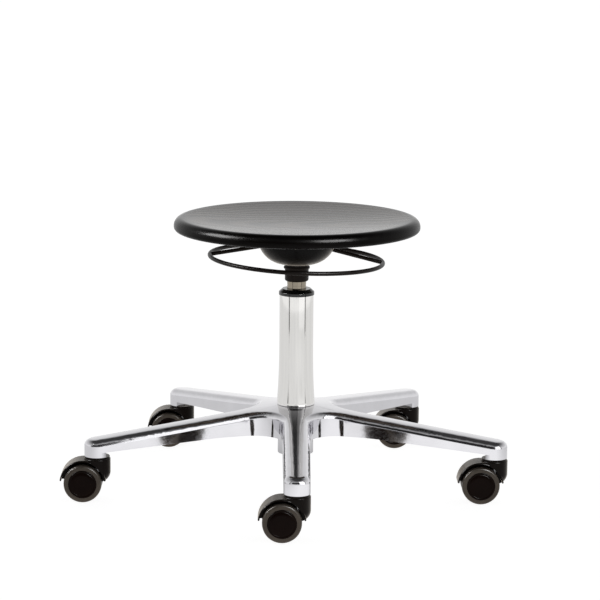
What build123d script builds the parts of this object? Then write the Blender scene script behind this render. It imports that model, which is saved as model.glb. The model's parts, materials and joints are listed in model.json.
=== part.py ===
from build123d import *
import os
from math import asin, cos, degrees, radians, sin, tan

# Swivel stool: turned wooden seat, gas lift with a release ring, five-arm base and twin-wheel casters.
# Millimetres. The floor is z = 0, the lift axis is the Z axis, and the seat is at its lowest position.

# Clearances shared by the fits
running_gap = 0.08
face_gap = 0.3

# Casters: every wheel stands on the floor, and the casters trail towards -X
caster_names = ("front", "right", "rear_right", "rear_left", "left")
wheel_diameter = 55.0
wheel_width = 19.4
wheel_side_gap = 0.6
wheel_face_thickness = 2.4
wheel_rim_thickness = 3.0
wheel_boss_diameter = 13.0
tyre_depth = 7.0
tyre_inset = 1.0
tyre_edge_radius = 3.4
hub_bevel_height = 1.2
hub_bevel_width = 2.4
axle_diameter = 6.0
axle_boss_diameter = 24.0
web_thickness = 8.0
caster_trail = 20.2
hood_gap = 3.6
hood_wall = 2.3
hood_width = 36.0
hood_edge_radius = 2.6
hood_tip_rise = 3.5
neck_diameter = 38.6
neck_corner_radius = 16.0
neck_edge_radius = 1.2
neck_foot_drop = 1.0
collar_diameter = 36.4
collar_height = 2.8
collar_over_hood = 4.0
boss_gap = 0.4
stem_diameter = 11.0
stem_in_base = 21.0
stem_in_caster = 24.0
stem_groove_depth = 0.9
stem_groove_width = 2.4
stem_groove_drop = 7.2
stem_end_radius = 1.0

# Five-arm base, polished casting with a hollow ribbed underside
stem_circle_diameter = 604.0
arm_end_width = 37.0
arm_root_width = 41.4
arm_web_radius = 40.0
arm_roll_radius = 9.5
hub_rise = 57.2
arm_end_rise = 26.1
arm_end_under_rise = 7.1
arm_root_under_rise = 18.1
arm_under_break_radius = 125.0
arm_under_bend_radius = 400.0
arm_wall = 4.0
arm_skin = 5.0
rib_thickness = 3.0
rib_count = 3
boss_inboard = 9.4
hub_bore_length = 72.6
skirt_diameter = 52.5
skirt_wall_to_pocket = 4.0

# Lift column
column_diameter = 50.0
column_wall = 2.6
column_height = 164.4
foot_diameter = 56.6
foot_height = 110.0
foot_flare = 0.09
taper_top_diameter = 48.4
taper_bottom_diameter = 43.6
taper_wall = 2.4
floor_plate_thickness = 4.0
cap_diameter = 52.2
cap_band_height = 4.4
cap_bevel_height = 4.6
cap_bevel_width = 5.2
cap_lip_height = 6.0
cap_lip_wall = 2.4
cap_edge_radius = 1.2
guide_length = 92.0

# Thrust bearing and buffer at the foot of the column
rod_diameter = 10.0
race_diameter = 36.0
race_thickness = 3.0
ball_diameter = 6.0
ball_count = 9
cage_thickness = 2.4
cage_rim = 1.4
buffer_diameter = 24.0
buffer_height = 19.0
buffer_edge_radius = 2.0
clip_thickness = 1.5
clip_diameter = 18.0
clip_groove_depth = 0.8
clip_opening_angle = 70.0
rod_tail = 4.0
rod_end_radius = 1.0

# Gas spring
cylinder_diameter = 28.0
cylinder_wall = 1.5
lift_stroke = 130.0
gland_length = 20.0
piston_length = 14.0
seal_groove_width = 4.6
seal_groove_depth = 1.5
valve_length = 54.0
lowest_gap = 11.0
marker_groove_width = 1.4
marker_groove_depth = 0.5
marker_groove_drop = 6.4

# Seat support: cone socket, carrier and plate
socket_diameter = 35.0
socket_length = 41.0
socket_lip_radius = 3.0
cone_top_diameter = 26.0
cone_seat_drop = 2.0
flange_diameter = 38.4
flange_thickness = 3.4
flange_drop = 3.6
flange_edge_radius = 1.0
carrier_thickness = 4.0
carrier_cheek = 3.0
carrier_width = 50.0
carrier_tail = 22.0
carrier_nose = 7.0
carrier_height = 34.0
plate_diameter = 160.0
plate_thickness = 4.0
plate_edge_radius = 1.2
screw_circle_diameter = 136.0
screw_count = 4
screw_diameter = 5.0
screw_head_diameter = 11.0
screw_head_height = 3.4
screw_head_radius = 1.6
screw_length = 12.0

# Cowl under the seat
cowl_diameter = 115.0
cowl_wall = 2.5
cowl_depth = 45.5
cowl_flat = 0.4
notch_side_gap = 1.5
notch_end_gap = 1.6

# Turned seat
seat_diameter = 360.0
seat_thickness = 19.0
seat_top_round = 12.0
seat_under_round = 6.0
dish_depth = 7.0
dish_border = 13.0

# Release button, ring and rocker
button_diameter = 10.0
button_head_height = 3.5
button_edge_radius = 0.8
button_stem_diameter = 6.0
button_stem_length = 40.0
button_travel = 3.0
lever_arm = 26.0
nose_radius = 4.0
nose_width = 12.0
pivot_diameter = 8.0
pivot_overhang = 3.0
barrel_wall = 2.6
rocker_thickness = 4.0
rocker_width = 18.0
rocker_reach = 36.0
rocker_side_gap = 0.5
spoke_socket_diameter = 10.6
spoke_socket_length = 7.0
ring_diameter = 253.6
ring_wire = 6.3
spoke_wire = 5.8
ring_drop = 17.1
ring_droop = 2.54

# Heights and radii that follow from the sizes above
wheel_radius = wheel_diameter / 2
axle_z = wheel_radius
rim_radius = wheel_radius - tyre_depth
wheel_inner = web_thickness / 2 + wheel_side_gap
wheel_outer = wheel_inner + wheel_width
well_radius = wheel_radius + hood_gap
hood_radius = well_radius + hood_wall
collar_top = axle_z + hood_radius + collar_over_hood
neck_top = collar_top - collar_height
boss_under = collar_top + boss_gap
stem_radius = stem_diameter / 2

stem_circle = stem_circle_diameter / 2
end_half_width = arm_end_width / 2
root_half_width = arm_root_width / 2
arm_lean = asin((root_half_width - end_half_width) / stem_circle)
base_radius = stem_circle + end_half_width
hub_top = boss_under + hub_rise
foot_radius = foot_diameter / 2
arm_fall = (hub_rise - arm_end_rise) / (stem_circle - foot_radius)
root_under = boss_under + arm_root_under_rise
end_under = boss_under + arm_end_under_rise
skirt_bottom = hub_top - hub_bore_length
arm_angles = [-90.0 + 360.0 / len(caster_names) * index for index in range(len(caster_names))]

column_radius = column_diameter / 2
column_bore = column_radius - column_wall
column_top = hub_top + column_height
cap_top = column_top + cap_band_height + cap_bevel_height
rod_radius = rod_diameter / 2
rod_hole = rod_radius + running_gap
lower_race_z = skirt_bottom + floor_plate_thickness
ball_z = lower_race_z + race_thickness + running_gap + ball_diameter / 2
upper_race_z = ball_z + ball_diameter / 2 + running_gap
buffer_z = upper_race_z + race_thickness
cylinder_bottom = buffer_z + buffer_height + face_gap

cylinder_radius = cylinder_diameter / 2
cylinder_bore = cylinder_radius - cylinder_wall
gland_top = cylinder_bottom + gland_length
piston_z = gland_top + lift_stroke + face_gap
socket_bottom = cap_top + lowest_gap
socket_top = socket_bottom + socket_length
socket_radius = socket_diameter / 2
cylinder_top = socket_top - cone_seat_drop
cone_top_radius = cone_top_diameter / 2
valve_bottom = cylinder_top - valve_length

carrier_z = socket_top - carrier_thickness
plate_under = carrier_z + carrier_height
seat_under = plate_under + plate_thickness
seat_top = seat_under + seat_thickness
seat_radius = seat_diameter / 2
cowl_radius = cowl_diameter / 2
cowl_bottom = plate_under - cowl_depth
flange_top = cowl_bottom - flange_drop

button_top = cylinder_top + button_travel + face_gap + button_head_height
pivot_x = lever_arm
pivot_z = button_top + face_gap + nose_radius - lever_arm * sin(radians(ring_droop))
lever_throw = degrees(button_travel / lever_arm)
ring_radius = ring_diameter / 2
ring_z = pivot_z - ring_drop
rocker_mid = pivot_z + rocker_thickness / 2
pivot_axis = Axis((pivot_x, 0, pivot_z), (0, 1, 0))


def turned(points, rounds=()):
    """Revolve an outline of (radius, height) points about Z; rounds holds (point index, radius) pairs."""
    outline = Face(Wire.make_polygon([Vector(r, 0, z) for r, z in points], close=True))
    for index, radius in rounds:
        r, z = points[index]
        corner = outline.vertices().sort_by_distance(Vector(r, 0, z))[0]
        outline = outline.fillet_2d(radius, [corner])
    return revolve(outline, Axis.Z)


def sleeve(outer, inner, low, high):
    """Plain ring about Z between two heights."""
    return turned([(inner, low), (outer, low), (outer, high), (inner, high)])


def disc(radius, low, high):
    """Plain cylinder about Z between two heights."""
    return turned([(0, low), (radius, low), (radius, high), (0, high)])


def rod_between(start, end, radius):
    """Round rod from one point to another."""
    start = Vector(*start)
    end = Vector(*end)
    return extrude(Plane(origin=start, z_dir=end - start) * Circle(radius), amount=(end - start).length)


def block(low, high):
    """Box from its lowest to its highest corner."""
    size = [b - a for a, b in zip(low, high)]
    middle = [(a + b) / 2 for a, b in zip(low, high)]
    return Pos(*middle) * Box(*size)


def arm_top(radius):
    """Height of the base's upper surface at a distance from the lift axis."""
    return hub_top - arm_fall * (radius - foot_radius)


def arm_half_width(radius):
    """Half the plan width of an arm at a distance from the lift axis."""
    return root_half_width / cos(arm_lean) - radius * tan(arm_lean)


# Base


def star_plan():
    """Plan outline of the base: tapered arms with round ends and concave webs between them."""
    plan = Sketch()
    for angle in arm_angles:
        tip_x = stem_circle + end_half_width * sin(arm_lean)
        tip_y = end_half_width * cos(arm_lean)
        root_y = root_half_width / cos(arm_lean)
        sides = make_face(Polyline((0, -root_y), (tip_x, -tip_y), (tip_x, tip_y), (0, root_y), close=True))
        end = Pos(stem_circle, 0) * Circle(end_half_width)
        plan += Rot(0, 0, angle) * (sides + end)
    webs = plan.vertices().sort_by_distance((0, 0, 0))[:len(arm_angles)]
    return fillet(webs, arm_web_radius)


def arm_pocket(angle):
    """Hollow under one arm, left open downwards and crossed by ribs."""
    start = skirt_diameter / 2 + skirt_wall_to_pocket
    end = stem_circle - boss_inboard
    near = arm_half_width(start) - arm_wall
    far = arm_half_width(end) - arm_wall
    plan = make_face(Polyline((start, -near), (end, -far), (end, far), (start, near), close=True))
    low = boss_under
    hollow = extrude(Pos(0, 0, low) * plan, amount=hub_rise)
    hollow &= turned([(0, low), (base_radius, low), (base_radius, arm_top(base_radius) - arm_skin),
                      (foot_radius, hub_top - arm_skin), (0, hub_top - arm_skin)])
    spacing = (end - start) / (rib_count + 1)
    half_rib = rib_thickness / 2
    hollow -= block((start, -half_rib, low), (end, half_rib, hub_top))
    for rib in range(1, rib_count + 1):
        middle = start + rib * spacing
        hollow -= block((middle - half_rib, -near, low), (middle + half_rib, near, hub_top))
    return Rot(0, 0, angle) * hollow


def end_boss(angle):
    """D-shaped boss under an arm's end that holds a caster stem."""
    outboard = Pos(end_half_width - boss_inboard, 0) * Rectangle(arm_end_width, arm_end_width)
    plan = Circle(end_half_width) & outboard
    height = arm_end_under_rise + arm_skin
    return Rot(0, 0, angle) * Pos(stem_circle, 0, boss_under) * extrude(plan, amount=height)


def star_base():
    """Five-arm casting with rolled upper edges, socket skirt, caster bosses and ribbed underside."""
    section = turned([(0, root_under), (arm_under_break_radius, root_under), (stem_circle, end_under),
                      (base_radius, end_under), (base_radius, arm_top(base_radius)), (foot_radius, hub_top),
                      (0, hub_top)], [(1, arm_under_bend_radius)])
    low = boss_under
    body = extrude(Pos(0, 0, low) * star_plan(), amount=hub_rise) & section
    upper = body.faces().filter_by(GeomType.CONE).sort_by(Axis.Z)[-1]
    body = fillet(upper.outer_wire().edges(), arm_roll_radius)
    body += disc(skirt_diameter / 2, skirt_bottom, root_under + arm_skin)
    for angle in arm_angles:
        body += end_boss(angle)
    for angle in arm_angles:
        body -= arm_pocket(angle)
        body -= Rot(0, 0, angle) * Pos(stem_circle, 0, 0) * disc(stem_radius, 0, boss_under + stem_in_base)
    return body - column_taper()


def column_taper():
    """Tapered plug at the column's foot, also the shape of the hub's socket."""
    return turned([(0, skirt_bottom), (taper_bottom_diameter / 2, skirt_bottom),
                   (taper_top_diameter / 2, hub_top), (0, hub_top)])


# Column


def column_tube():
    """Chromed tube with a flared foot, a tapered plug below and a floor plate for the bearing."""
    flare = make_face([
        Line((0, 0, hub_top), (foot_radius, 0, hub_top)),
        Spline((foot_radius, 0, hub_top), (column_radius, 0, hub_top + foot_height),
               tangents=[(-foot_flare, 0, 1), (0, 0, 1)]),
        Line((column_radius, 0, hub_top + foot_height), (column_radius, 0, column_top)),
        Line((column_radius, 0, column_top), (0, 0, column_top)),
        Line((0, 0, column_top), (0, 0, hub_top)),
    ])
    tube = revolve(flare, Axis.Z) + column_taper()
    narrow = taper_bottom_diameter / 2 - taper_wall
    tube -= disc(column_bore, hub_top, column_top)
    tube -= disc(narrow, lower_race_z, hub_top)
    return tube - disc(rod_hole, skirt_bottom, lower_race_z)


def column_cap():
    """Black cap on the column: a band, a bevel and a lip inside the tube."""
    inner = cylinder_radius + face_gap
    band = cap_diameter / 2
    lip = column_bore
    lip_inner = lip - cap_lip_wall
    lip_low = column_top - cap_lip_height
    band_top = column_top + cap_band_height
    bevel = band - cap_bevel_width
    return turned([(inner, column_top), (lip_inner, column_top), (lip_inner, lip_low), (lip, lip_low),
                   (lip, column_top), (band, column_top), (band, band_top), (bevel, cap_top),
                   (inner, cap_top)], [(6, cap_edge_radius)])


def guide_bush():
    """Plastic sleeve that guides the gas cylinder in the column."""
    top = column_top - cap_lip_height
    return sleeve(column_bore, cylinder_radius + running_gap, top - guide_length, top)


def bearing_race(low):
    """Flat washer of the thrust bearing."""
    return sleeve(race_diameter / 2, rod_hole, low, low + race_thickness)


def ball_cage():
    """Ball cage of the thrust bearing with its loose balls."""
    pitch = (rod_hole + race_diameter / 2) / 2
    reach = ball_diameter / 2 + cage_rim
    cage = sleeve(pitch + reach, pitch - reach, ball_z - cage_thickness / 2, ball_z + cage_thickness / 2)
    balls = []
    for index in range(ball_count):
        place = Rot(0, 0, 360 / ball_count * index) * Pos(pitch, 0, ball_z)
        cage -= place * Cylinder(ball_diameter / 2 + running_gap, cage_thickness * 2)
        balls.append(place * Sphere(ball_diameter / 2))
    return Compound([cage.solid()] + [ball.solid() for ball in balls])


def buffer():
    """Rubber buffer that the gas cylinder lands on."""
    radius = buffer_diameter / 2
    high = buffer_z + buffer_height
    return turned([(rod_hole, buffer_z), (radius, buffer_z), (radius, high), (rod_hole, high)],
                  [(2, buffer_edge_radius)])


# Gas spring


def clip_z():
    """Lower face of the retaining clip under the column's floor plate."""
    return skirt_bottom - face_gap - clip_thickness


def piston_rod():
    """Ground rod from the clip below the floor plate up to the piston."""
    low = clip_z() - rod_tail
    high = piston_z + piston_length
    rod = turned([(0, low), (rod_radius, low), (rod_radius, high), (0, high)], [(1, rod_end_radius)])
    groove = sleeve(rod_radius, rod_radius - clip_groove_depth, clip_z(), clip_z() + clip_thickness)
    return rod - groove


def retaining_clip():
    """Open spring clip in the rod's groove."""
    ring = sleeve(clip_diameter / 2, rod_radius - clip_groove_depth, clip_z(), clip_z() + clip_thickness)
    half = clip_diameter * tan(radians(clip_opening_angle / 2))
    mouth = make_face(Polyline((0, 0), (clip_diameter, -half), (clip_diameter, half), close=True))
    return ring - extrude(Pos(0, 0, clip_z()) * mouth, amount=clip_thickness)


def piston():
    """Piston at the head of the rod, with a groove for its seal."""
    outer = cylinder_bore - running_gap
    body = sleeve(outer, rod_radius, piston_z, piston_z + piston_length)
    groove_z = piston_z + (piston_length - seal_groove_width) / 2
    return body - sleeve(outer, outer - seal_groove_depth, groove_z, groove_z + seal_groove_width)


def gas_cylinder():
    """Pressure tube with a conical head; a fine groove marks the end of the bare stretch."""
    tube = turned([(cylinder_bore, cylinder_bottom), (cylinder_radius, cylinder_bottom),
                   (cylinder_radius, socket_bottom), (cone_top_radius, cylinder_top),
                   (cone_top_radius - cylinder_wall, cylinder_top), (cylinder_bore, valve_bottom + face_gap),
                   (cylinder_bore, valve_bottom)])
    groove_z = socket_bottom - marker_groove_drop
    groove_floor = cylinder_radius - marker_groove_depth
    return tube - sleeve(cylinder_radius, groove_floor, groove_z, groove_z + marker_groove_width)


def rod_gland():
    """Seal and guide that closes the foot of the cylinder round the rod."""
    return sleeve(cylinder_bore, rod_hole, cylinder_bottom, gland_top)


def valve_body():
    """Valve block in the cylinder's head, bored for the release button's stem."""
    head = cone_top_radius - cylinder_wall
    bore = button_stem_diameter / 2 + running_gap
    low = valve_bottom + face_gap
    return turned([(bore, low), (cylinder_bore, low), (head, cylinder_top), (bore, cylinder_top)])


def release_button():
    """Button on the gas spring's head; pressing it frees the lift."""
    head = button_diameter / 2
    stem = button_stem_diameter / 2
    low = button_top - button_head_height
    return turned([(0, low - button_stem_length), (stem, low - button_stem_length), (stem, low), (head, low),
                   (head, button_top), (0, button_top)], [(4, button_edge_radius)])


# Seat support


def cone_socket():
    """Black neck that takes the cylinder's cone, with the flange under the cowl."""
    flange = flange_diameter / 2
    return turned([(cylinder_radius, socket_bottom), (socket_radius, socket_bottom),
                   (socket_radius, flange_top - flange_thickness), (flange, flange_top - flange_thickness),
                   (flange, flange_top), (socket_radius, flange_top), (socket_radius, socket_top),
                   (cone_top_radius, socket_top), (cone_top_radius, cylinder_top)],
                  [(1, socket_lip_radius), (3, flange_edge_radius), (4, flange_edge_radius)])


def seat_carrier():
    """U-shaped bracket between the socket and the plate, with the rocker between its cheeks."""
    low_x = -carrier_tail
    high_x = pivot_x + carrier_nose
    half = carrier_width / 2
    web = block((low_x, -half, carrier_z), (high_x, half, socket_top))
    bracket = web - disc(socket_radius, carrier_z, socket_top)
    for side in (-1, 1):
        inner = side * (half - carrier_cheek)
        near = min(inner, side * half)
        far = max(inner, side * half)
        bracket += block((low_x, near, carrier_z), (high_x, far, plate_under))
    return bracket - pivot_rod(carrier_width)


def pivot_rod(length):
    """Rod of the pivot's diameter along the pivot axis, centred between the cheeks."""
    return rod_between((pivot_x, -length / 2, pivot_z), (pivot_x, length / 2, pivot_z), pivot_diameter / 2)


def pivot_pin():
    """Pin that the rocker turns on."""
    return pivot_rod(carrier_width + 2 * pivot_overhang)


def screw_places():
    """Positions of the seat screws on their circle."""
    return [Rot(0, 0, 360 / screw_count * (index + 0.5)) * Pos(screw_circle_diameter / 2, 0, 0)
            for index in range(screw_count)]


def seat_plate():
    """Round steel plate screwed under the seat."""
    radius = plate_diameter / 2
    plate = turned([(0, plate_under), (radius, plate_under), (radius, seat_under), (0, seat_under)],
                   [(1, plate_edge_radius)])
    for place in screw_places():
        plate -= place * disc(screw_diameter / 2, plate_under, seat_under)
    return plate


def seat_screws():
    """Pan-head screws that hold the seat on the plate."""
    head = screw_head_diameter / 2
    shank = screw_diameter / 2
    low = plate_under - screw_head_height
    tip = seat_under + screw_length
    screw = turned([(0, low), (head, low), (head, plate_under), (shank, plate_under),
                    (shank, tip), (0, tip)], [(1, screw_head_radius)])
    return Compound([(place * screw).solid() for place in screw_places()])


def spoke_height(x, pressed):
    """Height of a spoke's centre line at x, with the ring at rest or fully pressed."""
    angle = radians(ring_droop - (lever_throw if pressed else 0))
    level = ring_z + (rocker_mid - ring_z) * (ring_radius - abs(x)) / (ring_radius - rocker_reach)
    return pivot_z + (level - pivot_z) * cos(angle) - (x - pivot_x) * sin(angle)


def cowl():
    """Bowl-shaped cover with an open notch for each spoke."""
    hole = socket_radius + face_gap
    corner = min(cowl_radius - hole - cowl_flat, cowl_depth - cowl_wall)
    inner = cowl_radius - cowl_wall
    floor = cowl_bottom + cowl_wall
    shell = turned([(hole, cowl_bottom), (cowl_radius, cowl_bottom), (cowl_radius, plate_under),
                    (inner, plate_under), (inner, floor), (hole, floor)],
                   [(1, corner), (4, corner - cowl_wall)])
    half = spoke_wire / 2 + notch_side_gap
    for side in (-1, 1):
        x = side * cowl_radius
        low = min(spoke_height(x, True), spoke_height(x, False)) - spoke_wire / 2 - notch_end_gap
        notch = block((min(x / 2, 2 * x), -half, low), (max(x / 2, 2 * x), half, plate_under))
        shell -= notch
    return shell


def seat_board():
    """Turned wooden disc with a rolled rim and a shallow dish."""
    dish_radius = seat_radius - dish_border
    sweep_radius = (dish_radius ** 2 + dish_depth ** 2) / (2 * dish_depth)
    half_angle = asin(dish_radius / sweep_radius) / 2
    dish_low = seat_top - dish_depth
    dish_middle = (sweep_radius * sin(half_angle), 0, dish_low + sweep_radius * (1 - cos(half_angle)))
    outline = make_face([
        Line((0, 0, seat_under), (seat_radius, 0, seat_under)),
        Line((seat_radius, 0, seat_under), (seat_radius, 0, seat_top)),
        Line((seat_radius, 0, seat_top), (dish_radius, 0, seat_top)),
        ThreePointArc((dish_radius, 0, seat_top), dish_middle, (0, 0, dish_low)),
        Line((0, 0, dish_low), (0, 0, seat_under)),
    ]).face()
    for height, radius in ((seat_top, seat_top_round), (seat_under, seat_under_round)):
        corner = outline.vertices().sort_by_distance(Vector(seat_radius, 0, height))[0]
        outline = outline.fillet_2d(radius, [corner])
    board = revolve(outline, Axis.Z)
    for place in screw_places():
        board -= place * disc(screw_diameter / 2, seat_under, seat_under + screw_length)
    return board


# Release ring


def drooped(piece):
    """Turn a piece of the release ring from level to its resting droop about the pivot."""
    return piece.rotate(pivot_axis, ring_droop)


def level_ring():
    """Wire ring before its droop."""
    return Pos(0, 0, ring_z) * Torus(ring_radius, ring_wire / 2)


def level_spokes():
    """Two opposite spokes before their droop, coped to the ring."""
    spokes = []
    for side in (-1, 1):
        outer = (side * ring_radius, 0, ring_z)
        inner = (side * rocker_reach, 0, rocker_mid)
        spokes.append(rod_between(outer, inner, spoke_wire / 2) - level_ring())
    return spokes


def release_ring():
    """Wire ring that is lifted on the right to free the lift."""
    return drooped(level_ring())


def ring_spokes():
    """Spokes from the ring to the rocker."""
    return Compound([drooped(spoke).solid() for spoke in level_spokes()])


def lever_rocker():
    """Rocker on the pivot pin, with a rounded nose over the button and a socket for each spoke."""
    half = rocker_width / 2
    rocker = block((-rocker_reach, -half, pivot_z), (rocker_reach, half, pivot_z + rocker_thickness))
    inside = carrier_width / 2 - carrier_cheek - rocker_side_gap
    barrel_ends = (pivot_x, -inside, pivot_z), (pivot_x, inside, pivot_z)
    rocker += rod_between(*barrel_ends, pivot_diameter / 2 + barrel_wall)
    rocker += rod_between((0, -nose_width / 2, pivot_z), (0, nose_width / 2, pivot_z), nose_radius)
    rise = (rocker_mid - ring_z) / (ring_radius - rocker_reach)
    for side in (-1, 1):
        start = (side * rocker_reach, 0, rocker_mid)
        mouth = (side * (rocker_reach + spoke_socket_length), 0, rocker_mid - spoke_socket_length * rise)
        rocker += rod_between(start, mouth, spoke_socket_diameter / 2)
    for spoke in level_spokes():
        rocker -= spoke
    return drooped(rocker - rod_between(*barrel_ends, pivot_diameter / 2 + running_gap))


# Casters, built with the stem on the Z axis


def across(piece):
    """Lay a piece turned about Z along the axle, so that its heights become distances along +Y."""
    return Pos(-caster_trail, 0, axle_z) * Rot(-90, 0, 0) * piece


def caster_housing():
    """Moulded hood over both wheels, round neck under the arm and a web that carries the axle."""
    half = hood_width / 2
    hood = across(turned([(0, -half), (hood_radius, -half), (hood_radius, half), (0, half)],
                         [(1, hood_edge_radius), (2, hood_edge_radius)]))
    tip = axle_z + hood_tip_rise
    reach = 2 * (hood_radius + caster_trail)
    hood &= block((-reach, -half, tip), (reach, half, collar_top))
    foot = axle_z - neck_foot_drop
    neck = turned([(0, foot), (neck_diameter / 2, foot), (neck_diameter / 2, neck_top), (0, neck_top)],
                  [(1, neck_corner_radius), (2, neck_edge_radius)])
    neck += disc(collar_diameter / 2, neck_top, collar_top)
    body = hood + neck + across(disc(axle_boss_diameter / 2, -web_thickness / 2, web_thickness / 2))
    for side in (-1, 1):
        near = side * web_thickness / 2
        far = side * (half + neck_diameter)
        body -= across(disc(well_radius, min(near, far), max(near, far)))
    body -= across(disc(axle_diameter / 2, -web_thickness / 2, web_thickness / 2))
    return body - disc(stem_radius + running_gap, collar_top - stem_in_caster, collar_top)


def caster_stem():
    """Steel stem held in the arm's boss; the housing swivels on it."""
    low = collar_top - stem_in_caster + face_gap
    high = boss_under + stem_in_base
    stem = turned([(0, low), (stem_radius, low), (stem_radius, high), (0, high)],
                  [(1, stem_end_radius), (2, stem_end_radius)])
    groove_z = high - stem_groove_drop
    groove_floor = stem_radius - stem_groove_depth
    return stem - sleeve(stem_radius, groove_floor, groove_z, groove_z + stem_groove_width)


def caster_axle():
    """Steel axle pressed into the web."""
    reach = wheel_outer - wheel_face_thickness - face_gap
    return across(disc(axle_diameter / 2, -reach, reach))


def caster_wheel(side):
    """Moulded wheel core: closed domed face, rim for the tyre and a boss that turns on the axle."""
    face = wheel_outer - wheel_face_thickness
    back = face - wheel_face_thickness
    bore = axle_diameter / 2 + running_gap
    boss = wheel_boss_diameter / 2
    rim_inside = rim_radius - wheel_rim_thickness
    rim_low = wheel_inner + tyre_inset
    core = turned([(0, face), (bore, face), (bore, wheel_inner), (boss, wheel_inner), (boss, back),
                   (rim_inside, back), (rim_inside, rim_low), (rim_radius, rim_low),
                   (rim_radius, wheel_outer - hub_bevel_height), (rim_radius - hub_bevel_width, wheel_outer),
                   (0, wheel_outer)])
    return across(core) if side > 0 else across(core).mirror(Plane.XZ)


def caster_tyre(side):
    """Soft tyre with rounded edges on the wheel's rim."""
    low = wheel_inner + tyre_inset
    high = wheel_outer - hub_bevel_height
    tyre = turned([(rim_radius, low), (wheel_radius, low), (wheel_radius, high), (rim_radius, high)],
                  [(1, tyre_edge_radius), (2, tyre_edge_radius)])
    return across(tyre) if side > 0 else across(tyre).mirror(Plane.XZ)


def caster_nodes():
    """All casters, each piece moved to its arm's end."""
    pieces = {"housing": caster_housing(), "stem": caster_stem(), "axle": caster_axle(),
              "wheel_left": caster_wheel(1), "wheel_right": caster_wheel(-1),
              "tyre_left": caster_tyre(1), "tyre_right": caster_tyre(-1)}
    nodes = {}
    for name, angle in zip(caster_names, arm_angles):
        place = Pos(stem_circle * cos(radians(angle)), stem_circle * sin(radians(angle)), 0)
        for piece, solid in pieces.items():
            nodes["caster_" + name + "_" + piece] = place * solid
    return nodes


def all_nodes():
    """Every piece of the stool by its node name."""
    nodes = {
        "star_base": star_base(),
        "column_tube": column_tube(),
        "column_cap": column_cap(),
        "guide_bush": guide_bush(),
        "lower_race": bearing_race(lower_race_z),
        "ball_cage": ball_cage(),
        "upper_race": bearing_race(upper_race_z),
        "buffer": buffer(),
        "piston_rod": piston_rod(),
        "retaining_clip": retaining_clip(),
        "piston": piston(),
        "gas_cylinder": gas_cylinder(),
        "rod_gland": rod_gland(),
        "valve_body": valve_body(),
        "release_button": release_button(),
        "cone_socket": cone_socket(),
        "seat_carrier": seat_carrier(),
        "pivot_pin": pivot_pin(),
        "seat_plate": seat_plate(),
        "seat_screws": seat_screws(),
        "cowl": cowl(),
        "seat_board": seat_board(),
        "release_ring": release_ring(),
        "ring_spokes": ring_spokes(),
        "lever_rocker": lever_rocker(),
    }
    nodes.update(caster_nodes())
    return nodes


os.makedirs("parts", exist_ok=True)
for node_name, node in all_nodes().items():
    export_step(node, os.path.join("parts", node_name + ".step"))
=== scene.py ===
"""Swivel stool: a turned, dished seat on a gas lift that a wire ring releases, over a polished star base
on twin-wheel casters. Laid out as an add-on: settings, one operator for each group of pieces, and a panel."""

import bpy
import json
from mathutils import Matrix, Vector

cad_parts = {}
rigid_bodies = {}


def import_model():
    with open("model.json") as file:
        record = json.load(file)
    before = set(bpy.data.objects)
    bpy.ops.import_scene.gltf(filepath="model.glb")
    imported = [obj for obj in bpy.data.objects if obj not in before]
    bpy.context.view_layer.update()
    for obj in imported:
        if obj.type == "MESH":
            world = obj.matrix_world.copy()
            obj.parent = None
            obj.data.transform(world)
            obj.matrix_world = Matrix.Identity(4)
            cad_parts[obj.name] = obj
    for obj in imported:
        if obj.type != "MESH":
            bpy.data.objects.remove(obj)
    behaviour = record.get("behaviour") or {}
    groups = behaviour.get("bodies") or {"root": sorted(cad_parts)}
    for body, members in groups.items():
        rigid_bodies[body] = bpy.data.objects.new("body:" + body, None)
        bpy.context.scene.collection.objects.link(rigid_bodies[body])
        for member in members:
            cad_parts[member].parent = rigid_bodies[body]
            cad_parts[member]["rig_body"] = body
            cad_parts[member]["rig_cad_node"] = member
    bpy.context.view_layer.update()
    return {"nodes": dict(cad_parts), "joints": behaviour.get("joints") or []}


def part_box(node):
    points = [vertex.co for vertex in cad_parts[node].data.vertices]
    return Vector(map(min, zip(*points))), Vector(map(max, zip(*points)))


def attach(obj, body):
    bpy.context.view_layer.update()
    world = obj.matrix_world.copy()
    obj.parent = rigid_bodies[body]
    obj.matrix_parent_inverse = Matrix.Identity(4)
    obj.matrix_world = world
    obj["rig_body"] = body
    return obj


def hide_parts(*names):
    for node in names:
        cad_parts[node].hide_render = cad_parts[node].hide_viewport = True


bl_info = {
    "name": "Swivel Stool",
    "version": (1, 0, 0),
    "blender": (4, 5, 0),
    "location": "View3D > Sidebar > Stool",
    "description": "Models and finishes a swivel stool on its packed construction, and lights it in a studio",
    "category": "Object",
}

import json
from math import asin, atan2, cos, pi, radians, sin

import bpy
from bpy.props import FloatProperty, FloatVectorProperty, IntProperty, PointerProperty
from mathutils import Matrix, Vector

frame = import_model()

# Places that the construction gives, in metres
seat_low, seat_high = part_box("seat_board")
column_low, column_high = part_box("column_tube")
cylinder_low, cylinder_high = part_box("gas_cylinder")
screws_low, screws_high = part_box("seat_screws")
neck_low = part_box("cone_socket")[0]
plate_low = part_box("seat_plate")[0]
base_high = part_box("star_base")[1]
joint_places = {joint["name"]: Vector(joint["pos_m"]) for joint in frame["joints"] if "pos_m" in joint}

# The casters in their order round the base, and the sides of their wheels with their way along Y
caster_names = ("front", "right", "rear_right", "rear_left", "left")
wheel_sides = {"left": 1, "right": -1}
arm_sector = 2 * pi / len(caster_names)

# Distance in metres within which points are merged
WELD = 0.000002

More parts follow.
